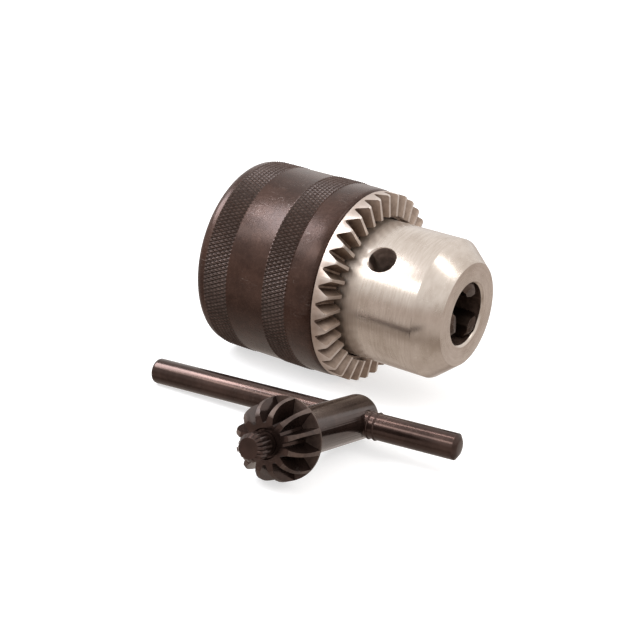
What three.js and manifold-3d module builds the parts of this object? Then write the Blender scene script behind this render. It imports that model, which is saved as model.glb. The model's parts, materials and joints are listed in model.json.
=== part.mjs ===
// A keyed three-jaw drill chuck lying on its side, with its T-handled chuck key beside it.
// Millimetres. +X runs along the chuck's axis from the spindle socket to the nose, +Z is up.
// The origin is the centre of the spindle socket's mouth, in the plane of the chuck's rear face.
import * as THREE from 'three';
import { mergeVertices } from 'three/addons/utils/BufferGeometryUtils.js';
import Module from 'manifold-3d';

const wasm = await Module();
wasm.setup();

// ---------- driving dimensions ----------
const SIDES = 60; // facets round the chuck's turned surfaces
const GAP = 0.3; // air left between pieces that touch
const RUNNING = 0.1; // radial clearance between pieces that turn or slide on each other

const CHUCK = { length: 62.25, noseR: 16.6, faceR: 12.3, coneStart: 56.9, mouthR: 7.37, mouthChamfer: 0.4 };
const SOCKET = { r: 5.95, depth: 16.5, chamfer: 1.0 };
const SCREW = { r: 2.95, holeR: 3.2, headR: 4.8, headHeight: 3.5, length: 11, slotWidth: 1.2, slotDepth: 1.6 };
const BORE = { wellR: 5.3, wellFloor: 21, wellTop: 38, mouthFloor: 40.1 };
const BOSS = { r: 11, end: 1.5 };
const FLANGE = { r: 18, end: 7.5 };
const WAIST = { r: 15.5, end: 23.5 };
const SHOULDER_R = 18.2;
const NUT_GROOVE = { start: 26.3, end: 34.3, r: 14.2 };
const NUT = { outerR: 19, ringPerSide: 15 };

const SLEEVE = { start: 1, end: 34.05, r: 23, knurlR: 23.3, cornerR: 2.3, landEnd: 7.2, reliefR: 21.5 };
const KNURL_BANDS = [[4.1, 10.5], [20.87, 27.08]];
const SPIGOT = { start: 31, innerR: 19.3, outerR: 20.9 };

const GEAR = { teeth: 34, outerR: 22.7, innerR: 17, crestAtRim: 38.2, crestAtBore: 38.9, flankAngle: 28.5 };
const GEAR_LEDGE = { x: 36.8, outerR: 17.6 };
const GEAR_ROOT = { atRim: 35.3, apex: 42.9, width: 0.5 };
const PILOT_HOLE = { x: 44.96, r: 3.22, depthR: 5.5, angle: 140 };

const JAW = { count: 3, r: 3.55, length: 44, slope: 15, apex: 75.7, grip: 4, tipDrop: 0.2, landHalf: 1, chamfer: 1.1 };
const JAW_THREAD = { pitch: 1.588, depth: 0.8, fromTip: 17 };
const JAW_SIDES = 24;

const PINION = { teeth: 12, firstGullet: 8.9, rimR: 8.58, rimWidth: 0.55, length: 7.4, midR: 8.05, noseR: 6.9, frontR: 5.6 };
const GULLET = { rearR: 5.15, frontR: 4.2, halfWidth: 0.3, halfAngle: 23 };
const SHANK = { r: 4.95, toRim: 28.84, beyondBar: 5.6, edge: 1.6, flare: 3.4 };
const PILOT = { r: 2.85, tip: 13.48, neckR: 2.4, neckWidth: 1.6, chamferR: 2.11, chamferWidth: 0.98, seat: 6 };
const BAR = { r: 2.87, longArm: 49.49, shortArm: 26.02, edge: 1.1, collarR: 3.25, collarWidth: 0.7, collarPitch: 1.5 };
const KEY = { x: 57.61, y: -39.29, heading: -86.12 };

const rad = THREE.MathUtils.degToRad;
const jawSlope = rad(JAW.slope);
const floorZ = -SLEEVE.knurlR;

// ---------- geometry helpers ----------
// One closed three.js geometry as a manifold-3d solid, with its faces pointing out.
function solid(geometry) {
  const bare = geometry.index ? geometry.toNonIndexed() : geometry.clone();
  bare.deleteAttribute('normal');
  bare.deleteAttribute('uv');
  const merged = mergeVertices(bare, 1e-4);
  const index = [...merged.index.array];
  const triVerts = [];
  for (let i = 0; i < index.length; i += 3) {
    const [a, b, c] = index.slice(i, i + 3);
    if (a !== b && b !== c && c !== a) triVerts.push(a, b, c);
  }
  const mesh = { numProp: 3, vertProperties: new Float32Array(merged.attributes.position.array) };
  const body = new wasm.Manifold(new wasm.Mesh({ ...mesh, triVerts: new Uint32Array(triVerts) }));
  if (body.volume() > 0) return body;
  const flipped = triVerts.map((_, i) => triVerts[i - (i % 3) + (2 - (i % 3))]);
  return new wasm.Manifold(new wasm.Mesh({ ...mesh, triVerts: new Uint32Array(flipped) }));
}

// A solid turned about the X axis from a closed outline of [x, radius] points.
function turned(outline, sides = SIDES) {
  const points = [...outline, outline[0]].map(([x, r]) => new THREE.Vector2(r, x));
  return solid(new THREE.LatheGeometry(points, sides).rotateZ(-Math.PI / 2));
}

// The same for an outline that starts and ends on the axis.
function turnedFull(outline, sides = SIDES) {
  const points = outline.map(([x, r]) => new THREE.Vector2(r, x));
  return solid(new THREE.LatheGeometry(points, sides).rotateZ(-Math.PI / 2));
}

// A round rod along +X from x0 to x1.
function rod(r, x0, x1, sides = 24) {
  const geometry = new THREE.CylinderGeometry(r, r, x1 - x0, sides);
  return solid(geometry.rotateZ(-Math.PI / 2).translate((x0 + x1) / 2, 0, 0));
}

// A closed box-like solid from four corners of one end and the matching four of the other.
function loft(nearEnd, farEnd) {
  const corners = [...nearEnd, ...farEnd].flat();
  const quads = [[0, 1, 2, 3], [7, 6, 5, 4], [0, 4, 5, 1], [1, 5, 6, 2], [2, 6, 7, 3], [3, 7, 4, 0]];
  const geometry = new THREE.BufferGeometry();
  geometry.setAttribute('position', new THREE.Float32BufferAttribute(corners, 3));
  geometry.setIndex(quads.flatMap(([a, b, c, d]) => [a, b, c, a, c, d]));
  return solid(geometry);
}

function block(x0, x1, y0, y1, z0, z1) {
  const geometry = new THREE.BoxGeometry(x1 - x0, y1 - y0, z1 - z0);
  return solid(geometry.translate((x0 + x1) / 2, (y0 + y1) / 2, (z0 + z1) / 2));
}

// Copies of one solid spaced evenly about the X axis, joined.
function ringOf(body, count, firstAngle = 0) {
  const copies = Array.from({ length: count }, (_, i) => body.rotate([firstAngle + (i * 360) / count, 0, 0]));
  return copies.reduce((all, one) => all.add(one));
}

// Points of an arc in an outline, from one angle to another in degrees.
function arc(cx, cr, radius, from, to, steps) {
  return Array.from({ length: steps + 1 }, (_, i) => {
    const angle = rad(from + ((to - from) * i) / steps);
    return [cx + radius * Math.cos(angle), cr + radius * Math.sin(angle)];
  });
}

function mesh(name, body, colour, roughness, metalness = 1) {
  const { vertProperties, triVerts } = body.getMesh();
  const geometry = new THREE.BufferGeometry();
  geometry.setAttribute('position', new THREE.BufferAttribute(vertProperties, 3));
  geometry.setIndex(new THREE.BufferAttribute(triVerts, 1));
  geometry.computeVertexNormals();
  const piece = new THREE.Mesh(geometry, new THREE.MeshStandardMaterial({ color: colour, roughness, metalness }));
  piece.name = name;
  return piece;
}

const BRIGHT_STEEL = 0xb9b0a6;
const BLACK_OXIDE = 0x2b2220;
const TOOL_STEEL = 0x6f6a66;

// ---------- the chuck ----------
// Radius of a jaw's own axis at a place along the chuck.
function jawAxisR(x) {
  return (JAW.apex - x) * Math.tan(jawSlope);
}

// Turns a solid made along +X, with the apex at x = 0, onto the axis of the jaw at that angle.
function alongJaw(body, angle) {
  return body.rotate([0, 0, -JAW.slope]).rotate([angle, 0, 0]).translate([JAW.apex, 0, 0]);
}

function jawAngle(i) {
  return PILOT_HOLE.angle + (360 / JAW.count) * (i - 0.5);
}

function chuckBody() {
  const { length, noseR, faceR, coneStart, mouthR, mouthChamfer } = CHUCK;
  const outline = [
    [0, SOCKET.r + SOCKET.chamfer], [0, BOSS.r], [BOSS.end, BOSS.r], [BOSS.end, FLANGE.r],
    [FLANGE.end, FLANGE.r], [FLANGE.end, WAIST.r], [WAIST.end, WAIST.r], [WAIST.end, SHOULDER_R],
    [NUT_GROOVE.start, SHOULDER_R], [NUT_GROOVE.start, NUT_GROOVE.r], [NUT_GROOVE.end, NUT_GROOVE.r],
    [NUT_GROOVE.end, noseR], [coneStart, noseR], [length, faceR], [length, mouthR + mouthChamfer],
    [length - mouthChamfer, mouthR], [BORE.mouthFloor, mouthR], [BORE.wellTop, BORE.wellR],
    [BORE.wellFloor, BORE.wellR], [BORE.wellFloor, SCREW.holeR], [SOCKET.depth, SCREW.holeR],
    [SOCKET.depth, SOCKET.r], [SOCKET.chamfer, SOCKET.r],
  ];
  const boreR = (JAW.r + RUNNING / 2) / Math.cos(Math.PI / JAW_SIDES);
  const jawBore = rod(boreR, -JAW.apex * 1.2, 0, JAW_SIDES);
  let body = turned(outline);
  for (let i = 0; i < JAW.count; i++) body = body.subtract(alongJaw(jawBore, jawAngle(i)));
  const hole = rod(PILOT_HOLE.r, PILOT_HOLE.depthR, noseR + 2).rotate([0, 0, 90]);
  return body.subtract(ringOf(hole.translate([PILOT_HOLE.x, 0, 0]), JAW.count, PILOT_HOLE.angle));
}

function retainingScrew() {
  const seat = BORE.wellFloor + GAP;
  const top = seat + SCREW.headHeight;
  const edge = 0.5;
  const screw = turnedFull([
    [seat - SCREW.length, 0], [seat - SCREW.length, SCREW.r - edge], [seat - SCREW.length + edge, SCREW.r],
    [seat, SCREW.r], [seat, SCREW.headR], [top - edge, SCREW.headR], [top, SCREW.headR - edge], [top, 0],
  ], 24);
  const reach = SCREW.headR + 1;
  const half = SCREW.slotWidth / 2;
  return screw.subtract(block(top - SCREW.slotDepth, top + 1, -reach, reach, -half, half));
}

// One jaw: a rod with its gripping land and flanks cut parallel to the chuck's axis, and a toothed back.
function jaw(i) {
  const tip = -(JAW.grip - JAW.tipDrop) / Math.sin(jawSlope);
  const rear = tip - JAW.length;
  const blank = turnedFull([
    [rear, 0], [rear, JAW.r - JAW.chamfer / 2], [rear + JAW.chamfer / 2, JAW.r],
    [tip - JAW.chamfer, JAW.r], [tip, JAW.r - JAW.chamfer], [tip, 0],
  ], JAW_SIDES);
  const teeth = new THREE.Shape();
  const firstRoot = tip - JAW_THREAD.fromTip;
  const count = Math.floor((JAW.length - JAW_THREAD.fromTip) / JAW_THREAD.pitch);
  const crest = JAW.r + 0.05;
  teeth.moveTo(firstRoot, JAW.r + 2);
  for (let tooth = 0; tooth < count; tooth++) {
    const start = firstRoot - tooth * JAW_THREAD.pitch;
    teeth.lineTo(start, crest);
    teeth.lineTo(start - JAW_THREAD.pitch / 2, crest - JAW_THREAD.depth);
  }
  teeth.lineTo(firstRoot - count * JAW_THREAD.pitch, crest);
  teeth.lineTo(firstRoot - count * JAW_THREAD.pitch, JAW.r + 2);
  const width = 2 * JAW.r + 2;
  const cutter = new THREE.ExtrudeGeometry(teeth, { depth: width, bevelEnabled: false });
  const placed = alongJaw(blank.subtract(solid(cutter.translate(0, 0, -width / 2))), 0);
  const flank = 3 * JAW.r;
  const grip = new THREE.Shape([
    new THREE.Vector2(JAW.landHalf, JAW.grip), new THREE.Vector2(-JAW.landHalf, JAW.grip),
    new THREE.Vector2(-JAW.landHalf - flank * Math.sin(rad(60)), JAW.grip + flank * Math.cos(rad(60))),
    new THREE.Vector2(-2 * flank, -flank), new THREE.Vector2(2 * flank, -flank),
    new THREE.Vector2(JAW.landHalf + flank * Math.sin(rad(60)), JAW.grip + flank * Math.cos(rad(60))),
  ]);
  const gripCutter = new THREE.ExtrudeGeometry(grip, { depth: JAW.length, bevelEnabled: false });
  gripCutter.applyMatrix4(new THREE.Matrix4().makeBasis(
    new THREE.Vector3(0, 0, 1), new THREE.Vector3(0, 1, 0), new THREE.Vector3(-1, 0, 0)));
  const cut = solid(gripCutter.translate(CHUCK.length + 2, 0, 0));
  return placed.subtract(cut).rotate([jawAngle(i), 0, 0]);
}

// Half of the split nut: a ring whose bore is a cone just clear of the jaws' toothed backs.
function nutHalf(side) {
  const start = NUT_GROOVE.start + GAP;
  const end = NUT_GROOVE.end - GAP;
  const boreR = (x) => jawAxisR(x) + JAW.r / Math.cos(jawSlope) + RUNNING;
  const outerR = NUT.outerR;
  const ring = turned([[start, boreR(start)], [start, outerR], [end, outerR], [end, boreR(end)]], 2 * NUT.ringPerSide);
  const reach = outerR + 1;
  const [low, high] = side > 0 ? [-reach, GAP / 2] : [-GAP / 2, reach];
  return ring.subtract(block(start - 1, end + 1, -reach, reach, low, high));
}

function sleeve() {
  const { start, end, r, knurlR, cornerR, landEnd, reliefR } = SLEEVE;
  const bands = KNURL_BANDS.flatMap(([from, to]) => [[from, r], [from, knurlR], [to, knurlR], [to, r]]);
  const nutSeatR = NUT.outerR + GAP;
  const spigotSeatR = SPIGOT.outerR + GAP;
  return turned([
    [start, FLANGE.r + RUNNING], ...arc(start + cornerR, r - cornerR, cornerR, 180, 90, 4), ...bands,
    [end, r], [end, spigotSeatR], [SPIGOT.start - GAP, spigotSeatR], [SPIGOT.start - GAP, nutSeatR],
    [NUT_GROOVE.start, nutSeatR], [NUT_GROOVE.start - 1, reliefR], [landEnd + 0.5, reliefR],
    [landEnd, FLANGE.r + RUNNING],
  ]);
}

// The bevel ring gear: a flat-faced ring whose tooth spaces run in towards a point on the axis.
function gearRing() {
  const { teeth, outerR, innerR, crestAtRim, crestAtBore, flankAngle } = GEAR;
  const back = SLEEVE.end + GAP;
  const edge = 0.35;
  const ring = turned([
    [back, innerR], [back, SPIGOT.innerR], [SPIGOT.start, SPIGOT.innerR], [SPIGOT.start, SPIGOT.outerR],
    [back, SPIGOT.outerR], [back, outerR], [crestAtRim - edge, outerR], [crestAtRim, outerR - edge],
    [crestAtBore, GEAR_LEDGE.outerR], [GEAR_LEDGE.x, GEAR_LEDGE.outerR], [GEAR_LEDGE.x, innerR],
  ], 2 * teeth);
  const section = (r) => {
    const share = r / outerR;
    const root = GEAR_ROOT.apex - (GEAR_ROOT.apex - GEAR_ROOT.atRim) * share;
    const top = crestAtBore + 1;
    const halfRoot = (GEAR_ROOT.width / 2) * share;
    const halfTop = halfRoot + (top - root) * Math.tan(rad(flankAngle));
    return [[root, r, -halfRoot], [root, r, halfRoot], [top, r, halfTop], [top, r, -halfTop]];
  };
  const space = loft(section(innerR - 1), section(outerR + 1));
  return ring.subtract(ringOf(space, teeth, PILOT_HOLE.angle));
}

// ---------- the key, made along its own axes: pilot along +X, bar along Y, bar's centre at the origin ----------
function keyHead() {
  const rim = SHANK.toRim;
  const backFace = rim - PINION.rimWidth;
  const front = rim + PINION.length;
  const end = -SHANK.beyondBar;
  const head = turnedFull([
    [end, 0], ...arc(end + SHANK.edge, SHANK.r - SHANK.edge, SHANK.edge, 180, 90, 4),
    [backFace - SHANK.flare, SHANK.r], [backFace, PINION.rimR], [rim, PINION.rimR],
    [rim + PINION.length / 2, PINION.midR], [rim + PINION.length * 0.8, PINION.noseR], [front, PINION.frontR],
    [front, 0],
  ], 4 * PINION.teeth);
  const section = (x, rootR) => {
    const top = PINION.rimR + 1;
    const halfTop = GULLET.halfWidth + (top - rootR) * Math.tan(rad(GULLET.halfAngle));
    return [[x, rootR, -GULLET.halfWidth], [x, rootR, GULLET.halfWidth], [x, top, halfTop], [x, top, -halfTop]];
  };
  const gullet = loft(section(rim, GULLET.rearR), section(front + 1, GULLET.frontR - 0.2));
  const barHole = rod(BAR.r + RUNNING, -SHANK.r - 1, SHANK.r + 1).rotate([0, 0, 90]);
  const pilotHole = rod(PILOT.neckR + RUNNING, front - PILOT.seat, front + 1);
  return head.subtract(ringOf(gullet, PINION.teeth, PINION.firstGullet)).subtract(barHole).subtract(pilotHole);
}

// The pilot pin: a straight-knurled nose on a plain neck that is pressed into the pinion.
function keyPilot() {
  const front = SHANK.toRim + PINION.length;
  const tip = SHANK.toRim + PILOT.tip;
  return turnedFull([
    [front - PILOT.seat + GAP, 0], [front - PILOT.seat + GAP, PILOT.neckR], [front + PILOT.neckWidth, PILOT.neckR],
    [front + PILOT.neckWidth, PILOT.r], [tip - PILOT.chamferWidth, PILOT.r], [tip, PILOT.chamferR], [tip, 0],
  ], 32);
}

// The handle bar, with the ridges raised by staking on the short arm, just outside the shank.
function keyHandle() {
  const { r, longArm, shortArm, edge, collarR, collarWidth, collarPitch } = BAR;
  const firstCollar = SHANK.r + GAP;
  const collars = [0, 1].flatMap((i) => {
    const start = firstCollar + i * collarPitch;
    return [[start, r], [start + 0.2, collarR], [start + collarWidth - 0.2, collarR], [start + collarWidth, r]];
  });
  return turnedFull([
    [-longArm, 0], [-longArm, r - edge], [-longArm + edge / 2, r], ...collars,
    [shortArm - edge / 2, r], [shortArm, r - edge], [shortArm, 0],
  ], 32).rotate([0, 0, 90]);
}

// ---------- assembly ----------
const chuck = new THREE.Group();
chuck.add(mesh('chuck_body', chuckBody(), BRIGHT_STEEL, 0.3));
chuck.add(mesh('retaining_screw', retainingScrew(), TOOL_STEEL, 0.45));
for (let i = 0; i < JAW.count; i++) chuck.add(mesh(`jaw_${i + 1}`, jaw(i), TOOL_STEEL, 0.35));
chuck.add(mesh('nut_half_upper', nutHalf(1), TOOL_STEEL, 0.5));
chuck.add(mesh('nut_half_lower', nutHalf(-1), TOOL_STEEL, 0.5));
chuck.add(mesh('sleeve', sleeve(), BLACK_OXIDE, 0.4));
chuck.add(mesh('gear_ring', gearRing(), BRIGHT_STEEL, 0.4));

// The key lies on the chuck's own floor: pinion rim and shank end set its pitch, the bar's long end its roll.
const key = new THREE.Group();
key.add(mesh('key_head', keyHead(), BLACK_OXIDE, 0.4));
key.add(mesh('key_pilot', keyPilot(), BLACK_OXIDE, 0.45));
key.add(mesh('key_handle', keyHandle(), BLACK_OXIDE, 0.35));
const shankFoot = SHANK.beyondBar - SHANK.edge;
const pitch = Math.atan((PINION.rimR - SHANK.r) / (SHANK.toRim + shankFoot));
const barZ = floorZ + SHANK.r * Math.cos(pitch) + shankFoot * Math.sin(pitch);
const roll = Math.asin((barZ - floorZ - BAR.r) / (BAR.longArm * Math.cos(pitch)));
key.position.set(KEY.x, KEY.y, barZ);
key.rotation.set(roll, -pitch, rad(KEY.heading), 'ZYX');

const group = new THREE.Group();
group.add(chuck, key);
export default group;
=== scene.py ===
# %% [markdown]
# # A keyed drill chuck with its key
# The chuck is a bright steel core inside a blackened, knurled sleeve that carries a bevel ring gear.
# Three jaws look out of its mouth, and the T-handled key that turns the sleeve lies in front of it.
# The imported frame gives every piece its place, so this lesson only has to give each one its surface.

# %% Load the frame
import json
import math
from contextlib import contextmanager

import bmesh
import bpy
from mathutils import Matrix, Vector

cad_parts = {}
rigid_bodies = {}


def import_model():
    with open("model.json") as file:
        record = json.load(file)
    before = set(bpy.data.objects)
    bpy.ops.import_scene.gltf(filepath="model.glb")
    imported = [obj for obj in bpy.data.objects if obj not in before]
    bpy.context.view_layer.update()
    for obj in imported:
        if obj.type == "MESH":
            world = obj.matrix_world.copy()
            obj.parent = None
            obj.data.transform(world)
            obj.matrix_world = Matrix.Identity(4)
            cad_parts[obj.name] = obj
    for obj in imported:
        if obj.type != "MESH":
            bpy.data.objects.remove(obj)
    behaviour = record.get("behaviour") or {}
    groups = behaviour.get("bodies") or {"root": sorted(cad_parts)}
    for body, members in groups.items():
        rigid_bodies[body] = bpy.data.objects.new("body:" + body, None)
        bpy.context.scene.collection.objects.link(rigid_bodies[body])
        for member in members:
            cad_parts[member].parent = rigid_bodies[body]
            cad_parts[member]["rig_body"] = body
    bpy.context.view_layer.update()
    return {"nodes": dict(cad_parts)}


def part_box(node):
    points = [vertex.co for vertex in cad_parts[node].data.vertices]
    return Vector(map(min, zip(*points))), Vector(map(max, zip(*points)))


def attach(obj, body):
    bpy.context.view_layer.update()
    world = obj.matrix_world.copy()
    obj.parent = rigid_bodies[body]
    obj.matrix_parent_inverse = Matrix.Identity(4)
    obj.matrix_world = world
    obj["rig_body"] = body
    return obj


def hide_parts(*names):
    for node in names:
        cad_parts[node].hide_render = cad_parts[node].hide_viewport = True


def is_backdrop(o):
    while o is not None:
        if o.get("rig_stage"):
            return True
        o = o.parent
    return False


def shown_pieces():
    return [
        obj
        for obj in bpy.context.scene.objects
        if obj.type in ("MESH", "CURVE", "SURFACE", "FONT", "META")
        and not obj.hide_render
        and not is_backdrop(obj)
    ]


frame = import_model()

print("nodes:", ", ".join(sorted(frame["nodes"])))

# %% [markdown]
# ## Driving dimensions
# A maker's drawing names a few sizes and everything else follows from them. The lengths that the
# frame already holds are read from its boxes, in millimetres. The sizes that several pieces share
# are written here, and those of a single piece in its own cell.
# X runs along the chuck's axis from the spindle socket to the nose, and Z is up.

# %% Driving dimensions
MM = 0.001


def corners_mm(node):
    """The lowest and highest corner of a CAD node in millimetres."""
    low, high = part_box(node)
    return low / MM, high / MM


BODY_LENGTH = corners_mm("chuck_body")[1].x
SLEEVE_START = corners_mm("sleeve")[0].x
KNURL_R = corners_mm("sleeve")[1].y
FLOOR_Z = corners_mm("sleeve")[0].z
GEAR_OUTER_R = corners_mm("gear_ring")[1].y
SPIGOT_START = corners_mm("gear_ring")[0].x
GEAR_CREST_AT_BORE = corners_mm("gear_ring")[1].x
GAP = 0.3
NUT_GROOVE_START = corners_mm("nut_half_upper")[0].x - GAP
NUT_GROOVE_END = corners_mm("nut_half_upper")[1].x + GAP

NOSE_R, FACE_R, CONE_START, MOUTH_R = 16.6, 12.3, 56.9, 7.37
SLEEVE_R, SLEEVE_END = 23.0, 34.05
KNURL_BANDS = ((4.1, 10.5), (20.87, 27.08))
GEAR_TEETH, GEAR_INNER_R = 34, 17.0
PILOT_HOLE_X, PILOT_HOLE_R, PILOT_HOLE_ANGLE = 44.96, 3.22, 140.0
JAW_COUNT, JAW_R, JAW_SLOPE, JAW_APEX = 3, 3.55, 15.0, 75.7
JAW_ANGLES = [PILOT_HOLE_ANGLE + 120 * (i - 0.5) for i in range(JAW_COUNT)]
print("knurl radius", round(KNURL_R, 2), "gear radius", round(GEAR_OUTER_R, 2), "floor", round(FLOOR_Z, 2))

# %% [markdown]
# ## Where the key lies
# The key rests on three points: the rim of its pinion, the end of its shank and the far end of
# its bar. Working out that lean gives a matrix that carries every key piece from its own axes
# (pilot along X, bar along Y) to its place, so each piece can be modelled square to the world.

# %% Where the key lies
SHANK_R, SHANK_TO_RIM, SHANK_BEYOND_BAR, SHANK_EDGE = 4.95, 28.84, 5.6, 1.6
RIM_R, BAR_R, LONG_ARM, SHORT_ARM = 8.58, 2.87, 49.49, 26.02
KEY_X, KEY_Y, KEY_HEADING = 57.61, -39.29, math.radians(-86.12)


def key_place():
    """The matrix that carries key pieces from their own axes to the frame, in metres."""
    foot = SHANK_BEYOND_BAR - SHANK_EDGE
    pitch = math.atan((RIM_R - SHANK_R) / (SHANK_TO_RIM + foot))
    height = FLOOR_Z + SHANK_R * math.cos(pitch) + foot * math.sin(pitch)
    roll = math.asin((height - FLOOR_Z - BAR_R) / (LONG_ARM * math.cos(pitch)))
    turn = Matrix.Rotation(KEY_HEADING, 4, "Z") @ Matrix.Rotation(-pitch, 4, "Y")
    turn = turn @ Matrix.Rotation(roll, 4, "X")
    return Matrix.Translation(Vector((KEY_X, KEY_Y, height)) * MM) @ turn


KEY_PLACE = key_place()
print("bar centre in mm:", [round(v / MM, 2) for v in KEY_PLACE.translation])

# %% [markdown]
# ## The camera
# A long lens from the front right, a little above the chuck, with a slight roll. It is made first,
# so that every later step can be looked at from the same place.

# %% The camera
AZIMUTH, ELEVATION, ROLL = math.radians(31.06), math.radians(16.20), math.radians(7.83)
AIM = Vector((19.84, 6.0, -13.9)) * MM
CAMERA_DISTANCE, LENS = 0.4002, 91.03


def add_camera():
    """Sets the camera from its azimuth round the chuck, its elevation and its roll."""
    level = Vector((math.cos(AZIMUTH), math.sin(AZIMUTH), 0))
    away_x, away_y = math.sin(AZIMUTH), -math.cos(AZIMUTH)
    back = Vector((away_x * math.cos(ELEVATION), away_y * math.cos(ELEVATION), math.sin(ELEVATION)))
    upright = back.cross(level)
    right = level * math.cos(ROLL) + upright * math.sin(ROLL)
    up = upright * math.cos(ROLL) - level * math.sin(ROLL)
    camera = bpy.data.objects.new("camera", bpy.data.cameras.new("camera"))
    camera.data.lens = LENS
    camera.data.clip_start = 0.01
    turn = Matrix((right, up, back)).transposed().to_4x4()
    camera.matrix_world = Matrix.Translation(AIM + back * CAMERA_DISTANCE) @ turn
    bpy.context.scene.collection.objects.link(camera)
    bpy.context.scene.camera = camera
    return camera


camera = add_camera()
print("camera at", [round(v, 3) for v in camera.matrix_world.translation])

# %% [markdown]
# ## Modelling helpers
# The frame's pieces are selected to begin with, so each helper starts from an empty selection.
# `editing` opens edit mode for one piece, `select_where` selects in code by place or direction,
# and `turn_on_lathe` lays a closed outline of (x, radius) points on a ring and spins it round X,
# which is how nearly every piece of a chuck is really made.

# %% Modelling helpers
ON_AXIS, SEAM = 1e-7, 1e-6


def focus(piece):
    """Makes one piece the only selected and the active one."""
    bpy.ops.object.select_all(action="DESELECT")
    piece.select_set(True)
    bpy.context.view_layer.objects.active = piece


@contextmanager
def editing(piece):
    """Edit mode on one piece, for as long as the block lasts."""
    focus(piece)
    bpy.ops.object.mode_set(mode="EDIT")
    yield
    bpy.ops.object.mode_set(mode="OBJECT")


def select_where(piece, kind, test):
    """In edit mode, selects only the vertices, edges or faces that pass the test."""
    bpy.ops.mesh.select_mode(type=kind)
    bpy.ops.mesh.select_all(action="DESELECT")
    mesh = bmesh.from_edit_mesh(piece.data)
    parts = {"VERT": mesh.verts, "EDGE": mesh.edges, "FACE": mesh.faces}[kind]
    for part in parts:
        if test(part):
            part.select_set(True)
    mesh.select_flush_mode()
    bmesh.update_edit_mesh(piece.data)


def modify(piece, kind, **settings):
    """Adds one modifier and applies it."""
    focus(piece)
    modifier = piece.modifiers.new(kind.title(), kind)
    for name, value in settings.items():
        setattr(modifier, name, value)
    bpy.ops.object.modifier_apply(modifier=modifier.name)


def turn_on_lathe(name, outline, steps):
    """A closed piece turned about X from (x, radius) points in millimetres."""
    bpy.ops.object.select_all(action="DESELECT")
    bpy.ops.mesh.primitive_circle_add(vertices=len(outline), radius=MM)
    piece = bpy.context.object
    piece.name = piece.data.name = name
    for vertex, (x, radius) in zip(piece.data.vertices, outline):
        vertex.co = (x * MM, radius * MM, 0)
    with editing(piece):
        select_where(piece, "EDGE", lambda edge: all(abs(v.co.y) < ON_AXIS for v in edge.verts))
        bpy.ops.mesh.delete(type="EDGE")
        bpy.ops.mesh.select_mode(type="VERT")
        bpy.ops.mesh.select_all(action="SELECT")
        bpy.ops.mesh.spin(steps=steps, angle=math.tau, center=(0, 0, 0), axis=(1, 0, 0))
        bpy.ops.mesh.select_all(action="SELECT")
        bpy.ops.mesh.remove_doubles(threshold=SEAM)
        bpy.ops.mesh.normals_make_consistent(inside=False)
    return piece


def arc(x, radius, size, start, end, steps):
    """Points of a rounded corner, centred on (x, radius), between two angles in degrees."""
    angles = [math.radians(start + (end - start) * i / steps) for i in range(steps + 1)]
    return [(x + size * math.cos(a), radius + size * math.sin(a)) for a in angles]


def rod(name, radius, start, end, sides=64):
    """A round bar along X, used to bore holes."""
    bpy.ops.object.select_all(action="DESELECT")
    bpy.ops.mesh.primitive_cylinder_add(vertices=sides, radius=radius * MM, depth=(end - start) * MM)
    piece = bpy.context.object
    piece.name = name
    lay_down = Matrix.Translation(((start + end) / 2 * MM, 0, 0)) @ Matrix.Rotation(math.pi / 2, 4, "Y")
    piece.data.transform(lay_down)
    return piece


def wedge(name, near, far):
    """A six-sided block from four corners of its near end and four of its far end, in millimetres."""
    bpy.ops.object.select_all(action="DESELECT")
    bpy.ops.mesh.primitive_cube_add(size=MM)
    piece = bpy.context.object
    piece.name = name
    order = {(-1, -1): 0, (-1, 1): 1, (1, 1): 2, (1, -1): 3}
    for vertex in piece.data.vertices:
        side = (1 if vertex.co.y > 0 else -1, 1 if vertex.co.z > 0 else -1)
        end = far if vertex.co.x > 0 else near
        vertex.co = Vector(end[order[side]]) * MM
    with editing(piece):
        bpy.ops.mesh.select_all(action="SELECT")
        bpy.ops.mesh.normals_make_consistent(inside=False)
    return piece


def copy_round(piece, count):
    """Copies all of a piece evenly round the X axis, inside its own mesh."""
    with editing(piece):
        bpy.ops.mesh.select_all(action="SELECT")
        sweep = math.tau * (count - 1) / count
        bpy.ops.mesh.spin(steps=count - 1, dupli=True, angle=sweep, center=(0, 0, 0), axis=(1, 0, 0))
        bpy.ops.mesh.select_all(action="SELECT")
        bpy.ops.mesh.normals_make_consistent(inside=False)


def cut(piece, cutter):
    """Cuts one piece's shape out of another and throws the cutter away."""
    modify(piece, "BOOLEAN", object=cutter, operation="DIFFERENCE", solver="EXACT")
    bpy.data.objects.remove(cutter)


def soften_edges(piece, width, segments=2, angle=32, material=-1):
    """Rounds every edge sharper than an angle, and can give the rounding a worn finish of its own."""
    modify(piece, "BEVEL", width=width * MM, segments=segments, limit_method="ANGLE",
           angle_limit=math.radians(angle), material=material, use_clamp_overlap=True)


def finish_piece(piece, body, node, slot, *finishes, angle=32):
    """Smooths a piece, gives it its finish, and puts it on its body in place of its CAD node."""
    focus(piece)
    bpy.ops.object.shade_smooth_by_angle(angle=math.radians(angle))
    if not piece.data.materials:
        for finish in finishes:
            piece.data.materials.append(finish)
    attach(piece, body)
    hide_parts(node)
    print(piece.name, "has", len(piece.data.polygons), "faces")
    return piece


# %% [markdown]
# ## Writing a finish as an expression
# A shader is a sum of patterns. `Value` wraps one socket, so that adding or multiplying two of them
# adds the Math node, and `Finish` makes any other node from its type, its settings and its inputs.

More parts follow.
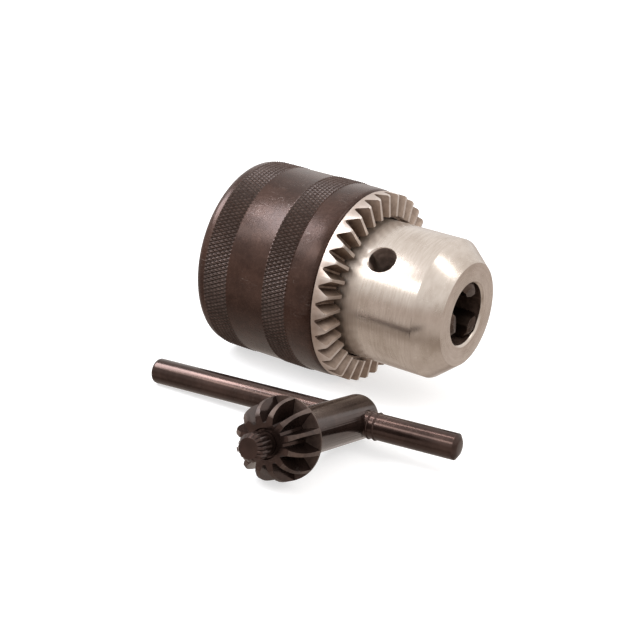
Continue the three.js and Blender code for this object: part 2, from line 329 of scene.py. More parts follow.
# %% Writing a finish as an expression
class Value:
    """One socket of a finish, so that shader maths reads as a Python expression."""

    def __init__(self, finish, socket):
        self.finish = finish
        self.socket = socket

    def math(self, operation, *others):
        """The result of one Math node."""
        return self.finish.node("ShaderNodeMath", {"operation": operation}, dict(enumerate((self, *others))))

    def __add__(self, other):
        return self.math("ADD", other)

    def __sub__(self, other):
        return self.math("SUBTRACT", other)

    def __mul__(self, other):
        return self.math("MULTIPLY", other)

    def __truediv__(self, other):
        return self.math("DIVIDE", other)

    __radd__ = __add__
    __rmul__ = __mul__

    def between(self, low, high):
        """0 below low and 1 above high, with a soft step."""
        sockets = {"Value": self, "From Min": low, "From Max": high}
        return self.finish.node("ShaderNodeMapRange", {"interpolation_type": "SMOOTHSTEP"}, sockets)


class Finish:
    """One material, built node by node."""

    MIX_SHARE, MIX_FIRST, MIX_SECOND, MIX_RESULT = 0, 6, 7, 2

    def __init__(self, name, axis=None):
        self.material = bpy.data.materials.new(name)
        self.material.use_nodes = True
        self.tree = self.material.node_tree
        self.tree.nodes.clear()
        place = axis or Matrix.Identity(4)
        coordinates = self.node("ShaderNodeTexCoord", {}, {}, "Object")
        centre = {"Vector": coordinates, "Location": place.translation, "Rotation": place.to_euler()}
        centred = self.node("ShaderNodeMapping", {"vector_type": "TEXTURE"}, centre)
        to_mm = {"Vector": centred, "Scale": 1 / MM}
        self.place = self.node("ShaderNodeVectorMath", {"operation": "SCALE"}, to_mm)

    def node(self, kind, settings, sockets, output=0):
        """Makes one node and returns one of its outputs."""
        made = self.tree.nodes.new(kind)
        for name, value in settings.items():
            setattr(made, name, value)
        for name, value in sockets.items():
            if isinstance(value, Value):
                self.tree.links.new(value.socket, made.inputs[name])
            else:
                made.inputs[name].default_value = value
        return Value(self, made.outputs[output])

    def axis(self, index):
        """One coordinate of the place in millimetres, where 0 runs along the axis of turning."""
        return self.node("ShaderNodeSeparateXYZ", {}, {"Vector": self.place}, index)

    def noise(self, scale, detail=3.0, roughness=0.55, vector=None, distortion=0.0):
        """A soft random pattern between 0 and 1."""
        sockets = {"Vector": vector or self.place, "Scale": scale, "Detail": detail,
                   "Roughness": roughness, "Distortion": distortion}
        return self.node("ShaderNodeTexNoise", {}, sockets)

    def lathe_marks(self, pitch, round_share=2.0, detail=2.0):
        """Fine rings, as a tool leaves on a piece turned about X, a pitch apart in millimetres."""
        x, y, z = (self.axis(i) for i in range(3))
        radius = (y * y + z * z).math("SQRT")
        feed = 0.83
        round_y, round_z = y / radius * round_share, z / radius * round_share
        parts = {"X": (x + radius * feed) / pitch, "Y": round_y, "Z": round_z}
        return self.noise(1.0, detail, 0.6, self.node("ShaderNodeCombineXYZ", {}, parts))

    def blend(self, share, first, second):
        """A colour between two others."""
        sockets = {self.MIX_SHARE: share, self.MIX_FIRST: first, self.MIX_SECOND: second}
        return self.node("ShaderNodeMix", {"data_type": "RGBA"}, sockets, self.MIX_RESULT)

    def bump(self, height, depth):
        """A normal from a height map whose full height is a depth in millimetres."""
        return self.node("ShaderNodeBump", {}, {"Height": height, "Strength": 1.0, "Distance": depth * MM})

    def done(self, colour, roughness, normal, metallic=1.0, **constants):
        """Joins the patterns in one shader and returns the material."""
        sockets = {"Base Color": colour, "Roughness": roughness, "Normal": normal, "Metallic": metallic}
        sockets.update({name.replace("_", " "): value for name, value in constants.items()})
        shader = self.node("ShaderNodeBsdfPrincipled", {}, sockets)
        output = self.tree.nodes.new("ShaderNodeOutputMaterial")
        self.tree.links.new(shader.socket, output.inputs["Surface"])
        return self.material


def colour(red, green, blue):
    return (red, green, blue, 1.0)


# %% [markdown]
# ## Bright turned steel
# The nose is case-hardened steel left bright from the lathe and the grinder. It could be a plain
# mirror, but what says "turned" is the set of fine rings that break up every reflection, with a
# faint warm film of oil and a few thin scratches from bench use.

# %% Bright turned steel
def scratches(finish, scale, width):
    """Thin broken lines in changing directions, 1 on a scratch and 0 off it."""
    pulled = {"Vector": finish.place, "Scale": (0.25, 1.0, 1.0), "Rotation": (0.6, 0.3, 0.9)}
    stretched = finish.node("ShaderNodeMapping", {}, pulled)
    lines = finish.noise(scale, 1.0, 0.5, stretched, 1.5)
    patches = finish.noise(0.16, 1.0).between(0.5, 0.62)
    return (lines - 0.5).math("ABSOLUTE").between(width, 0.0) * patches


def turned_steel(name, tint, stain, smoothness, marks_depth, dull_from=0.0, dull_to=-1.0):
    """Bright steel with turning marks, growing duller between two places along the axis."""
    finish = Finish(name)
    fine = finish.lathe_marks(0.11)
    broad = finish.lathe_marks(0.55, 3.0)
    film = finish.noise(0.13, 4.0, 0.6)
    thin = scratches(finish, 0.9, 0.012)
    oily = film.between(0.42, 0.72)
    shade = finish.blend(oily * 0.5 + broad.between(0.3, 0.7) * 0.4, colour(*tint), colour(*stain))
    shade = finish.blend(thin * 0.35, shade, colour(0.85, 0.8, 0.75))
    dull = finish.axis(0).between(dull_from, dull_to)
    gloss = smoothness + fine * 0.12 + broad * 0.08 + oily * 0.08 + dull * 0.22
    height = fine * 0.6 + broad * 0.8 - thin * 0.8
    grain = finish.bump(height, marks_depth)
    return finish.done(shade, gloss, grain)


def shadowed_bore(name, dark, light, metallic=0.7):
    """The unground inside of the mouth and the drilled holes, painted darker than the nose: painted shade in
    these recesses.
    """
    finish = Finish(name)
    film = finish.noise(0.35, 4.0, 0.6)
    marks = finish.lathe_marks(0.35, 3.0)
    shade = finish.blend(film.between(0.35, 0.7), colour(*dark), colour(*light))
    return finish.done(shade, 0.36 + film * 0.2, finish.bump(marks, 0.02), metallic=metallic)


# Painted shade: the mouth gets the darker copy, and the pilot holes a lighter copy, a painted lit patch on
# their inner walls.
mouth_shade_steel = shadowed_bore("painted_shade_mouth_steel", (0.055, 0.034, 0.025), (0.15, 0.1, 0.078))
hole_steel = shadowed_bore("painted_shade_hole_steel", (0.2, 0.15, 0.125), (0.42, 0.33, 0.29), 0.25)
nose_steel = turned_steel("turned_nose_steel", (0.6, 0.54, 0.485), (0.43, 0.365, 0.31), 0.13, 0.0042,
                          44.5, 38.5)
jaw_steel = turned_steel("ground_jaw_steel", (0.085, 0.058, 0.046), (0.04, 0.027, 0.021), 0.26, 0.006)
jaw_edge_steel = turned_steel("ground_jaw_edges", (0.8, 0.75, 0.71), (0.6, 0.54, 0.5), 0.26, 0.006)
print("turned finishes:", nose_steel.name, jaw_steel.name)

# %% [markdown]
# ## Milled gear steel
# The ring gear's tooth spaces are milled after turning, so its faces are duller than the nose. Their
# colour is painted darker from the pale crests towards the roots, a painted shade, and the walls and
# floors of the spaces get a darker copy of the same finish, painted shade in the tooth spaces.

# %% Milled gear steel
def milled_steel(name, tint, stain):
    """Duller steel, painted darker towards the roots of the teeth as painted shade."""
    finish = Finish(name)
    marks = finish.lathe_marks(0.2, 6.0)
    mottle = finish.noise(0.5, 4.0, 0.65)
    grit = finish.noise(5.0, 2.0)
    # Painted shade: the stain colour darkens the faces from the crests down towards the roots.
    depth = finish.axis(0).between(GEAR_CREST_AT_BORE - 0.4, GEAR_CREST_AT_BORE - 3.6)
    shade = finish.blend(mottle.between(0.35, 0.7) * 0.35 + depth * 0.65, colour(*tint), colour(*stain))
    gloss = 0.3 + mottle * 0.16 + grit * 0.08
    return finish.done(shade, gloss, finish.bump(marks * 0.7 + grit * 0.5, 0.012))


# The second finish is a darker copy, painted shade for the tooth-space walls and floors.
gear_steel = milled_steel("milled_gear_steel", (0.66, 0.6, 0.555), (0.42, 0.335, 0.285))
gear_space_shade_steel = milled_steel("painted_shade_gear_spaces", (0.34, 0.265, 0.215), (0.09, 0.06, 0.046))
print("gear finish:", gear_steel.name)

# %% [markdown]
# ## Black oxide
# The sleeve and the key are blackened: a thin, slightly brown oxide over machined steel. It is not
# paint, so it keeps the grain below it. The colour drifts from warm brown to near black. The key
# is smoother than the sleeve, with a paler version on the edges where handling has worn the oxide
# thin and a rougher one on the forged outside of its pinion.

# %% Black oxide
def knurl_height(finish):
    """0 in the knurl's grooves and 1 on its peaks."""
    y, z = finish.axis(1), finish.axis(2)
    return (y * y + z * z).math("SQRT").between(KNURL_R - 0.34, KNURL_R - 0.02)


def black_oxide(name, dark, warm, gloss_floor, axis=None, marks_pitch=0.3, grain_depth=0.012, bare=0.0,
                knurled=False, gleam=0.32, metal=0.4):
    """Oxide between two colours; bare is how much steel shows through, gleam and metal how it shines."""
    finish = Finish(name, axis)
    drift = finish.noise(0.12, 4.0, 0.6)
    mottle = finish.noise(1.1, 4.0, 0.65)
    grit = finish.noise(7.0, 2.0, 0.6)
    marks = finish.lathe_marks(marks_pitch, 3.0)
    thin = scratches(finish, 0.8, 0.01)
    share = drift.between(0.36, 0.66) * 0.6 + mottle.between(0.4, 0.75) * 0.35
    shade = finish.blend(share, colour(*dark), colour(*warm))
    worn = bare * mottle.between(0.38, 0.6) + thin * 0.2
    if knurled:
        peaks = knurl_height(finish)
        # Painted shade: the grooves between the knurl's peaks are painted darker.
        shade = finish.blend(peaks, colour(0.032, 0.019, 0.014), shade)
        worn = worn * peaks
    shade = finish.blend(worn, shade, colour(0.42, 0.36, 0.33))
    gloss = gloss_floor + mottle * 0.14 + grit * 0.08
    height = marks * 0.6 + grit * 0.55 + mottle * 0.3 - thin * 0.5
    return finish.done(shade, gloss, finish.bump(height, grain_depth), metallic=metal + worn * 0.2,
                       Specular_IOR_Level=gleam)


OXIDE_DARK, OXIDE_WARM = (0.033, 0.015, 0.0102), (0.07, 0.036, 0.026)
sleeve_oxide = black_oxide("sleeve_black_oxide", OXIDE_DARK, OXIDE_WARM, 0.16)
sleeve_knurl = black_oxide("sleeve_knurl_oxide", OXIDE_DARK, OXIDE_WARM, 0.28, bare=0.1, knurled=True)
KEY_DARK, KEY_WARM = (0.042, 0.026, 0.0215), (0.08, 0.05, 0.0415)
key_oxide = black_oxide("key_black_oxide", KEY_DARK, KEY_WARM, 0.06, KEY_PLACE, 0.4, 0.004, gleam=0.5,
                        metal=0.8)
key_worn = black_oxide("key_worn_edges", KEY_DARK, KEY_WARM, 0.24, KEY_PLACE, 0.4, 0.008, 0.5, gleam=0.5)
pinion_oxide = black_oxide("pinion_forged_oxide", (0.035, 0.02, 0.016), (0.13, 0.088, 0.07), 0.36, KEY_PLACE,
                           0.5, 0.05, gleam=0.5)
print("oxides:", sleeve_oxide.name, key_oxide.name, pinion_oxide.name)

# %% [markdown]
# ## The chuck's core
# One bar of steel: spindle socket, rear flange, waist, nut groove, then the nose with its cone and
# mouth. It is turned first and its edges broken, and the three slanted jaw bores and the three
# pilot holes for the key are drilled afterwards, in the same order as on the machine.

# %% The chuck's core
THREAD_PITCH = 1.27


def socket_thread(start, end, minor, depth):
    """The spindle socket's crests and roots as outline points, from its floor out to its mouth."""
    turns = int((start - end) / THREAD_PITCH)
    points = []
    for i in range(turns):
        x = start - i * THREAD_PITCH
        points += [(x, minor), (x - 0.2, minor), (x - 0.55, minor + depth), (x - 0.75, minor + depth)]
    return points


def drill_core(core):
    """Drills the three slanted jaw bores and the three pilot holes."""
    for angle in JAW_ANGLES:
        bore = rod("jaw_bore", JAW_R + 0.06, -JAW_APEX * 1.2, 0)
        tilt = Matrix.Rotation(math.radians(-JAW_SLOPE), 4, "Z")
        aim = Matrix.Rotation(math.radians(angle), 4, "X") @ Matrix.Translation((JAW_APEX * MM, 0, 0))
        bore.data.transform(aim @ tilt)
        cut(core, bore)
    hole = turn_on_lathe("pilot_bore", [
        (5.5, 0), (5.5, PILOT_HOLE_R), (NOSE_R - 0.45, PILOT_HOLE_R), (NOSE_R - 0.05, PILOT_HOLE_R + 0.42),
        (NOSE_R + 2, PILOT_HOLE_R + 0.5), (NOSE_R + 2, 0)], 64)
    hole.data.transform(Matrix.Translation((PILOT_HOLE_X * MM, 0, 0)) @ Matrix.Rotation(math.pi / 2, 4, "Z"))
    hole.data.transform(Matrix.Rotation(math.radians(PILOT_HOLE_ANGLE), 4, "X"))
    copy_round(hole, JAW_COUNT)
    cut(core, hole)


def make_core():
    shoulder, boss, flange, waist, groove = 18.2, 11.0, 18.0, 15.5, 14.2
    socket, way, well, well_floor = 5.95, 3.2, 5.3, 21
    thread = socket_thread(16.0, 1.2, 5.35, 0.6)
    outline = [
        (0, 6.95), (0, boss), (1.5, boss), (1.5, flange), (7.5, flange), (7.5, waist), (23.5, waist),
        (23.5, shoulder), (NUT_GROOVE_START, shoulder), (NUT_GROOVE_START, groove), (NUT_GROOVE_END, groove),
        (NUT_GROOVE_END, NOSE_R), (40, NOSE_R), (50, NOSE_R), (CONE_START, NOSE_R), (BODY_LENGTH, FACE_R),
        (BODY_LENGTH, MOUTH_R + 0.5), (BODY_LENGTH - 0.5, MOUTH_R), (51, MOUTH_R), (40.1, MOUTH_R),
        (38, well), (well_floor, well), (well_floor, way), (16.5, way), (16.5, socket), *thread,
        (1.0, socket)]
    core = turn_on_lathe("chuck_core", outline, 180)
    soften_edges(core, 0.16, 2, 20)
    drill_core(core)
    core.data.materials.append(nose_steel)
    core.data.materials.append(mouth_shade_steel)
    core.data.materials.append(hole_steel)
    # Faces inside the mouth and the pilot holes get the darker bore finishes as painted shade.
    for face in core.data.polygons:
        middle = face.center / MM
        skin = NOSE_R - max(0, middle.x - CONE_START) * (NOSE_R - FACE_R) / (BODY_LENGTH - CONE_START)
        deep = middle.x < BODY_LENGTH - 0.6 and middle.yz.length < skin - 0.7
        drilled = abs(middle.x - PILOT_HOLE_X) < PILOT_HOLE_R + 0.3 and middle.yz.length > MOUTH_R + 0.3
        inside = deep and abs(face.normal.x) < 0.95 and middle.x > NUT_GROOVE_END
        face.material_index = (2 if drilled else 1) if inside else 0
    return finish_piece(core, "body", "chuck_body", "nose_steel")


make_core()

# %% [markdown]
# ## The knurled sleeve
# A knurling wheel presses two crossed sets of grooves into the turned sleeve and leaves rows of
# small pyramids. A bump map would fail at the outline, so the diamonds are real: each band is spun
# in half-pitch cells, and every other corner and every cell's middle is pressed in. The corners
# that stay out are the peaks of the diamonds.

# %% The knurled sleeve
DIAMONDS_ROUND, KNURL_ROWS, KNURL_DEPTH = 146, 6, 0.32


def sleeve_outline():
    """The sleeve's closed outline, with one row of points for every half pitch of the knurls."""
    corner, seat, spigot_seat, relief = 2.3, 19.3, 21.2, 21.5
    middle_r, bore = SLEEVE_R + 0.1, 18.1
    points = [(SLEEVE_START, bore), *arc(SLEEVE_START + corner, SLEEVE_R - corner, corner, 180, 90, 8)]
    for band, (start, end) in enumerate(KNURL_BANDS):
        before = SLEEVE_R if band == 0 else middle_r
        after = middle_r if band == 0 else SLEEVE_R
        points.append((start - 0.25, before))
        points += [(start + (end - start) * i / KNURL_ROWS, KNURL_R) for i in range(KNURL_ROWS + 1)]
        points.append((end + 0.25, after))
    front_edge = arc(SLEEVE_END - 1.2, SLEEVE_R - 1.3, 1.2, 82, 0, 6)
    points += [(30.5, SLEEVE_R), (31.8, SLEEVE_R - 0.05), *front_edge]
    points += [(SLEEVE_END, spigot_seat), (SPIGOT_START - GAP, spigot_seat), (SPIGOT_START - GAP, seat),
               (NUT_GROOVE_START, seat), (NUT_GROOVE_START - 1, relief), (7.7, relief), (7.2, bore)]
    return points


def knurl_cell(position):
    """The row and the step round the band that a vertex stands on, or None off the bands."""
    x, radius = position.x / MM, position.yz.length / MM
    if abs(radius - KNURL_R) > 0.02:
        return None
    for start, end in KNURL_BANDS:
        if start - 0.01 < x < end + 0.01:
            row = (x - start) / (end - start) * KNURL_ROWS
            step = math.atan2(position.z, position.y) / math.tau * 2 * DIAMONDS_ROUND
            return row, step
    return None


def is_pressed(position):
    """True at every other corner of the cells, where two grooves cross."""
    cell = knurl_cell(position)
    return cell is not None and round(cell[0]) % 2 == round(cell[1]) % 2


def press_knurl(sleeve):
    """Pokes every cell of the bands and presses in its middle and every other crossing."""
    def in_band(face):
        return all(knurl_cell(vertex.co) for vertex in face.verts)

    def is_middle(vertex):
        return len(vertex.link_faces) == 4 and all(len(face.verts) == 3 for face in vertex.link_faces)

    scale = 1 - KNURL_DEPTH / KNURL_R
    with editing(sleeve):
        select_where(sleeve, "FACE", in_band)
        sleeve.active_material_index = 1
        bpy.ops.object.material_slot_assign()
        bpy.ops.mesh.poke()
        mesh = bmesh.from_edit_mesh(sleeve.data)
        middles = {v.index for v in mesh.verts if is_middle(v)}
        pits = {v.index for v in mesh.verts if is_pressed(v.co) and v.index not in middles}
        select_where(sleeve, "VERT", lambda v: v.index in middles or v.index in pits)
        bpy.ops.transform.resize(value=(1, scale, scale), center_override=(0, 0, 0))
        print("knurl:", len(pits), "crossings and", len(middles), "groove runs pressed")


def make_sleeve():
    sleeve = turn_on_lathe("knurled_sleeve", sleeve_outline(), 2 * DIAMONDS_ROUND)
    sleeve.data.materials.append(sleeve_oxide)
    sleeve.data.materials.append(sleeve_knurl)
    press_knurl(sleeve)
    return finish_piece(sleeve, "sleeve", "sleeve", "black_steel", angle=24)


make_sleeve()

# %% [markdown]
# ## The ring gear
# A turned ring pressed into the front of the sleeve, with 34 tooth spaces milled across its face.
# The spaces narrow towards the axis, as in any bevel gear, so one tapered cutter is shaped once,
# copied round the ring and taken away in a single cut. The thin bevel afterwards is the worn edge
# that catches the light on every tooth.

# %% The ring gear
GEAR_CREST_AT_RIM, ROOT_AT_RIM, ROOT_APEX, ROOT_WIDTH, FLANK = 38.2, 35.3, 42.9, 0.5, 28.5
LEDGE_R, LEDGE_X = 17.6, 36.8


def gear_space():
    """The cutter for one tooth space, standing at the +Y side."""
    def section(radius):
        share = radius / GEAR_OUTER_R
        root = ROOT_APEX - (ROOT_APEX - ROOT_AT_RIM) * share
        top = GEAR_CREST_AT_BORE + 1
        low = ROOT_WIDTH / 2 * share
        high = low + (top - root) * math.tan(math.radians(FLANK))
        return [(root, radius, -low), (root, radius, low), (top, radius, high), (top, radius, -high)]

    return wedge("gear_space", section(GEAR_INNER_R - 1), section(GEAR_OUTER_R + 1))


def make_gear():
    back, edge = SLEEVE_END + GAP, 0.3
    outline = [
        (back, GEAR_INNER_R), (back, 19.3), (SPIGOT_START, 19.3), (SPIGOT_START, 20.9), (back, 20.9),
        (back, GEAR_OUTER_R), (GEAR_CREST_AT_RIM - edge, GEAR_OUTER_R),
        (GEAR_CREST_AT_RIM, GEAR_OUTER_R - edge),
        (GEAR_CREST_AT_BORE, LEDGE_R), (LEDGE_X, LEDGE_R), (LEDGE_X, GEAR_INNER_R)]
    gear = turn_on_lathe("ring_gear", outline, 6 * GEAR_TEETH)
    space = gear_space()
    space.data.transform(Matrix.Rotation(math.radians(PILOT_HOLE_ANGLE), 4, "X"))
    copy_round(space, GEAR_TEETH)
    cut(gear, space)
    gear.data.materials.append(gear_steel)
    gear.data.materials.append(gear_space_shade_steel)
    # Tooth-space walls and floors take the darker copy: painted shade.
    for face in gear.data.polygons:
        across = Vector((0, -face.center.z, face.center.y)).normalized()
        flank = abs(face.normal.dot(across)) > 0.3
        root = face.normal.x > 0.5 and ROOT_AT_RIM - 0.2 < face.center.x / MM < LEDGE_X + 0.1
        face.material_index = int(flank or root)
    soften_edges(gear, 0.1, 2, 30, material=0)
    return finish_piece(gear, "sleeve", "gear_ring", "gear_steel")


make_gear()

# %% [markdown]
# ## The three jaws
# Each jaw is a hardened pin that slides down its slanted bore. Its tip is ground to a narrow
# gripping land with a flank on each side, both parallel to the chuck's axis rather than the jaw's,
# and its back carries the thread that the nut drives. One jaw is shaped, then copied to three.

# %% The three jaws
JAW_LENGTH, JAW_GRIP, LAND_HALF, TIP_DROP = 44.0, 4.0, 1.0, 0.2
JAW_THREAD_PITCH, JAW_THREAD_DEPTH, THREAD_FROM_TIP = 1.588, 0.8, 17.0
JAW_FLANK = math.radians(60)


def slice_off(piece, point, normal):
    """Cuts away everything on the side that the normal points to, and closes the cut."""
    with editing(piece):
        bpy.ops.mesh.select_all(action="SELECT")
        bpy.ops.mesh.bisect(plane_co=Vector(point) * MM, plane_no=normal, use_fill=True, clear_outer=True)


def thread_back(jaw, tip):
    """Cuts the thread's spaces across the jaw's back, which faces +Y."""
    rows = int((JAW_LENGTH - THREAD_FROM_TIP) / JAW_THREAD_PITCH)
    width, floor, half = JAW_R + 1, JAW_R - JAW_THREAD_DEPTH, JAW_THREAD_PITCH * 0.42
    start = tip - THREAD_FROM_TIP - JAW_THREAD_PITCH / 2
    top = JAW_R + 0.4
    near = [(start, floor, -width), (start + 0.12, floor, -width), (start + half, top, -width),
            (start - half, top, -width)]
    far = [(x, y, width) for x, y, _ in near]
    space = wedge("thread_space", near, far)
    modify(space, "ARRAY", count=rows, use_relative_offset=False, use_constant_offset=True,
           constant_offset_displace=(-JAW_THREAD_PITCH * MM, 0, 0))
    cut(jaw, space)


def make_jaws():
    tip = -(JAW_GRIP - TIP_DROP) / math.sin(math.radians(JAW_SLOPE))
    chamfer = 1.1
    master = turn_on_lathe("jaw", [
        (tip - JAW_LENGTH, 0), (tip - JAW_LENGTH, JAW_R - 0.5), (tip - JAW_LENGTH + 0.5, JAW_R),
        (tip - 20, JAW_R), (tip - 8, JAW_R), (tip - chamfer, JAW_R), (tip, JAW_R - chamfer), (tip, 0)], 48)
    thread_back(master, tip)
    lean = Matrix.Rotation(math.radians(-JAW_SLOPE), 4, "Z")
    master.data.transform(Matrix.Translation((JAW_APEX * MM, 0, 0)) @ lean)
    slice_off(master, (0, JAW_GRIP, 0), (0, -1, 0))
    for side in (1, -1):
        flank = (0, -math.sin(JAW_FLANK), side * math.cos(JAW_FLANK))
        slice_off(master, (0, JAW_GRIP, side * LAND_HALF), flank)
    master.data.materials.append(jaw_steel)
    master.data.materials.append(jaw_edge_steel)
    soften_edges(master, 0.24, 2, 30, material=1)
    for i, angle in enumerate(JAW_ANGLES):
        jaw = bpy.data.objects.new(f"hardened_jaw_{i + 1}", master.data.copy())
        bpy.context.scene.collection.objects.link(jaw)
        jaw.data.transform(Matrix.Rotation(math.radians(angle), 4, "X"))
        body = "jaw_" + ("one", "two", "three")[i]
        finish_piece(jaw, body, f"jaw_{i + 1}", "jaw_steel")
    bpy.data.objects.remove(master)


make_jaws()

# %% [markdown]
# ## The key's head
# The shank and its pinion are one forging. The blank is turned with a flared neck and a domed
# pinion, and twelve deep V-shaped gullets are cut that stop at a thin rim disc behind the teeth.

# %% The key's head
PINION_TEETH, FIRST_GULLET, PINION_LENGTH, RIM_WIDTH = 12, 8.9, 7.4, 0.55
GULLET_REAR_R, GULLET_FRONT_R, GULLET_HALF, GULLET_ANGLE = 5.15, 4.2, 0.3, 23.0
PILOT_R, PILOT_TIP, NECK_R, NECK_WIDTH = 2.85, 13.48, 2.4, 1.6


def gullet():
    """The cutter for one gullet of the pinion, standing at the +Y side."""
    def section(x, root):
        top = RIM_R + 1
        high = GULLET_HALF + (top - root) * math.tan(math.radians(GULLET_ANGLE))
        return [(x, root, -GULLET_HALF), (x, root, GULLET_HALF), (x, top, high), (x, top, -high)]

    beyond = SHANK_TO_RIM + PINION_LENGTH + 1
    return wedge("gullet", section(SHANK_TO_RIM, GULLET_REAR_R), section(beyond, GULLET_FRONT_R - 0.2))


def to_key(piece):
    """Carries a piece from the key's own axes to its place."""
    piece.data.transform(KEY_PLACE)


def make_key_head():
    rim, front = SHANK_TO_RIM, SHANK_TO_RIM + PINION_LENGTH
    back, end = rim - RIM_WIDTH, -SHANK_BEYOND_BAR
    flare_length, flare_rise = 3.4, RIM_R - 0.3 - SHANK_R
    flare = [(back - flare_length * (1 - t), SHANK_R + flare_rise * t ** 2.2)
             for t in (0, 0.2, 0.4, 0.6, 0.8, 0.92)]
    dome = [(rim + PINION_LENGTH * t, RIM_R - 0.55 * t - 2.0 * t ** 4)
            for t in (0.15, 0.3, 0.45, 0.6, 0.75, 0.88)]
    outline = [
        (end, 0), *arc(end + SHANK_EDGE, SHANK_R - SHANK_EDGE, SHANK_EDGE, 180, 90, 6), *flare,
        (back, RIM_R - 0.12), (back + 0.12, RIM_R), (rim, RIM_R), *dome, (front - 0.1, 5.9), (front, 5.5),
        (front, 3.15), (front - 0.5, 2.9), (front - 0.5, 0)]
    head = turn_on_lathe("key_shank_and_pinion", outline, 16 * PINION_TEETH)
    teeth = gullet()
    teeth.data.transform(Matrix.Rotation(math.radians(FIRST_GULLET), 4, "X"))
    copy_round(teeth, PINION_TEETH)
    cut(head, teeth)
    cross_hole = rod("bar_hole", BAR_R + 0.08, -SHANK_R - 1, SHANK_R + 1)
    cross_hole.data.transform(Matrix.Rotation(math.pi / 2, 4, "Z"))
    cut(head, cross_hole)
    cut(head, rod("pilot_hole", NECK_R + 0.08, front - 6, front + 1, 48))
    head.data.materials.append(key_oxide)
    head.data.materials.append(pinion_oxide)
    head.data.materials.append(key_worn)
    for face in head.data.polygons:
        middle = face.center / MM
        crest = RIM_R - 0.55 - 2.6 * max(0, (middle.x - rim) / PINION_LENGTH) ** 4
        face.material_index = int(middle.x > back - 0.2 and middle.yz.length > crest - 0.25)
    soften_edges(head, 0.16, 2, 30, material=2)
    to_key(head)
    return finish_piece(head, "key", "key_head", "key_steel")


make_key_head()

# %% [markdown]
# ## The pilot
# A short pin in the pinion's face steers the key into the chuck. Its nose is straight-knurled:
# the band is spun with four steps to a flute, and one step in each flute is drawn in.

# %% The pilot
FLUTES, STEPS_PER_FLUTE, FLUTE_DRAW = 18, 4, 0.88


def make_pilot():
    front = SHANK_TO_RIM + PINION_LENGTH
    tip = SHANK_TO_RIM + PILOT_TIP
    shoulder, nose = front + NECK_WIDTH, tip - 0.98
    outline = [(front - 5.7, 0), (front - 5.7, NECK_R), (shoulder, NECK_R), (shoulder + 0.15, PILOT_R),
               (shoulder + 0.4, PILOT_R), (nose, PILOT_R), (tip, 2.11), (tip, 0)]
    pilot = turn_on_lathe("key_pilot_pin", outline, STEPS_PER_FLUTE * FLUTES)
    with editing(pilot):
        def in_flute(vertex):
            step = round(math.atan2(vertex.co.z, vertex.co.y) / math.tau * STEPS_PER_FLUTE * FLUTES)
            return step % STEPS_PER_FLUTE == 0 and vertex.co.yz.length > (PILOT_R - 0.1) * MM
        select_where(pilot, "VERT", in_flute)
        bpy.ops.transform.resize(value=(1, FLUTE_DRAW, FLUTE_DRAW), center_override=(0, 0, 0))
    to_key(pilot)
    return finish_piece(pilot, "key", "key_pilot", "key_steel", key_oxide)


make_pilot()

# %% [markdown]
# ## The key's bar
# A plain round bar pushed through the shank. Two small ridges raised by a staking tool keep it from
# sliding out, one end is rounded over and the other is chamfered with a slight dome.

# %% The key's bar
def make_bar():
    ridges = []
    for i in range(2):
        start = SHANK_R + GAP + i * 1.5
        ridges += [(start, BAR_R), (start + 0.1, BAR_R + 0.17), (start + 0.25, BAR_R + 0.24),
                   (start + 0.4, BAR_R + 0.17), (start + 0.5, BAR_R)]
    long_end = [(-LONG_ARM, 0), *arc(-LONG_ARM + 0.9, BAR_R - 0.9, 0.9, 180, 90, 6)]
    short_end = [(SHORT_ARM - 0.75, BAR_R), (SHORT_ARM - 0.12, BAR_R - 0.95), (SHORT_ARM - 0.03, 1.2),
                 (SHORT_ARM, 0)]
    outline = [*long_end, (-20, BAR_R), (0, BAR_R), *ridges, (16, BAR_R), *short_end]
    bar = turn_on_lathe("key_bar", outline, 72)
    bar.data.transform(Matrix.Rotation(math.pi / 2, 4, "Z"))
    to_key(bar)
    return finish_piece(bar, "key", "key_handle", "bar_steel", key_oxide)


make_bar()

# %% [markdown]
# ## The parts that stay as the frame has them
# The split nut and the retaining screw sit deep inside. Their CAD shapes are right as they are, so
# they only get their finish.

# %% The parts that stay
for node in ("nut_half_upper", "nut_half_lower", "retaining_screw"):
    inside = frame["nodes"][node]
    inside.data.materials.clear()
    inside.data.materials.append(jaw_steel)

# %% [markdown]
# ## Floor and light
# The chuck lies on a white light table, which leaves only a breath of shadow. Metal shows its
# surroundings, so the room is built for its reflections: pale above, warm grey with one darker
# band below, a narrow softbox for the hard streak, a broad one above it and a window for the cone.
# The strip is for the key alone, so it is linked to the key's pieces and doesn't reach the chuck.

# %% Floor and light
WALL_BRIGHTNESS = 1.25


def add_floor():
    """The light table: it glows enough to look white, and metal doesn't mirror it."""
    bpy.ops.object.select_all(action="DESELECT")
    bpy.ops.mesh.primitive_plane_add(size=6, location=(0, 0, FLOOR_Z * MM))
    floor = bpy.context.object
    floor.name = "light_table"
    finish = Finish("light_table_white")
    flat = finish.bump(finish.noise(0.01), 0.0)
    floor.data.materials.append(finish.done(colour(0.5, 0.5, 0.5), 0.9, flat, 0.0,
                                            Emission_Color=colour(1, 1, 1), Emission_Strength=0.62))
    floor.visible_glossy = floor.visible_diffuse = False
    floor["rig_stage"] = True
    return floor


def add_softbox(name, place, width, height, brightness, tint=(1, 1, 1)):
    """An area light at a place in metres, facing the chuck, as bright as that many white walls."""
    light = bpy.data.lights.new(name, "AREA")
    light.shape, light.size, light.size_y = "RECTANGLE", width, height
    light.energy, light.color = brightness * math.pi * width * height, tint
    softbox = bpy.data.objects.new(name, light)
    away = (Vector(place) - Vector((0.03, 0, 0))).normalized()
    softbox.matrix_world = Matrix.Translation(place) @ away.to_track_quat("Z", "X").to_matrix().to_4x4()
    softbox.visible_camera = False
    bpy.context.scene.collection.objects.link(softbox)
    return softbox


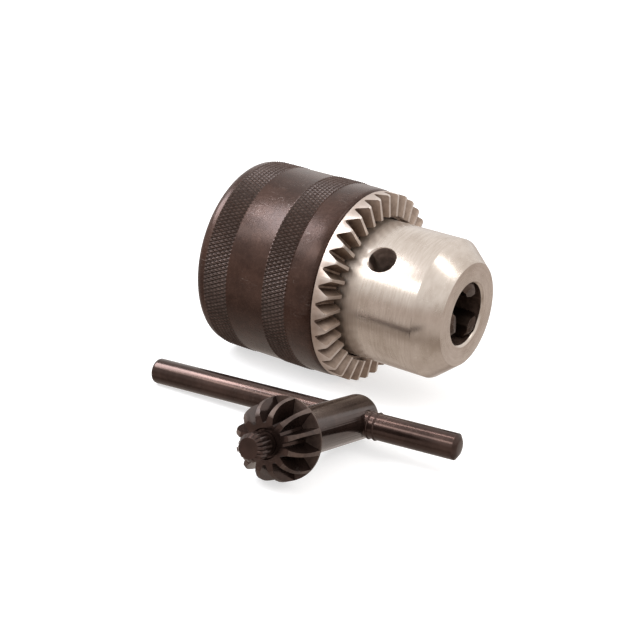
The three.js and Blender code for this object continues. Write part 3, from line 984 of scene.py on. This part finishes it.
def add_room():
    """The surroundings that the metal mirrors, behind a backdrop that looks plain white."""
    world = bpy.data.worlds.new("pale_room")
    bpy.context.scene.world = world
    world.use_nodes = True
    nodes, links = world.node_tree.nodes, world.node_tree.links
    where = nodes.new("ShaderNodeTexCoord")
    split = nodes.new("ShaderNodeSeparateXYZ")
    ramp = nodes.new("ShaderNodeValToRGB")
    links.new(where.outputs["Generated"], split.inputs[0])
    lift = nodes.new("ShaderNodeMapRange")
    lift.inputs["From Min"].default_value = -1
    links.new(split.outputs["Z"], lift.inputs["Value"])
    links.new(lift.outputs[0], ramp.inputs[0])
    stops = [(0.0, (0.54, 0.48, 0.435)), (0.1, (0.54, 0.475, 0.43)), (0.165, (0.3, 0.245, 0.21)),
             (0.23, (0.5, 0.44, 0.4)), (0.3, (0.6, 0.54, 0.5)), (0.45, (0.53, 0.455, 0.415)),
             (0.5, (0.56, 0.5, 0.465)), (0.56, (0.78, 0.75, 0.73)), (0.7, (0.92, 0.89, 0.87)),
             (1.0, (0.98, 0.95, 0.93))]
    elements = ramp.color_ramp.elements
    while len(elements) < len(stops):
        elements.new(0.5)
    for element, (position, shade) in zip(elements, stops):
        element.position, element.color = position, (*shade, 1)
    links.new(ramp.outputs[0], nodes["Background"].inputs["Color"])
    nodes["Background"].inputs["Strength"].default_value = WALL_BRIGHTNESS
    kinds = ("Background", "LightPath", "MixShader")
    backdrop, rays, choice = (nodes.new("ShaderNode" + kind) for kind in kinds)
    backdrop.inputs["Color"].default_value = colour(1, 1, 1)
    links.new(rays.outputs["Is Camera Ray"], choice.inputs[0])
    links.new(nodes["Background"].outputs[0], choice.inputs[1])
    links.new(backdrop.outputs[0], choice.inputs[2])
    links.new(choice.outputs[0], nodes["World Output"].inputs["Surface"])


add_floor()
add_room()
add_softbox("streak_softbox", (-0.23, -0.435, 0.33), 0.12, 0.34, 4.5)
key_strip = add_softbox("key_strip_light", (-0.17, -0.1, 0.4), 0.3, 0.06, 8, (1.0, 0.93, 0.93))
add_softbox("broad_softbox", (-0.38, -0.2, 0.4), 0.26, 0.28, 13, (0.9, 0.93, 1.0))
add_softbox("cone_window", (0.36, 0.05, 0.41), 0.16, 0.12, 4)
lit_by_strip = bpy.data.collections.new("lit_by_key_strip")
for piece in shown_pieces():
    if piece["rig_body"] == "key":
        lit_by_strip.objects.link(piece)
key_strip.light_linking.receiver_collection = lit_by_strip
bpy.context.scene.view_settings.view_transform = "Standard"
print("lights:", [light.name for light in bpy.data.lights])
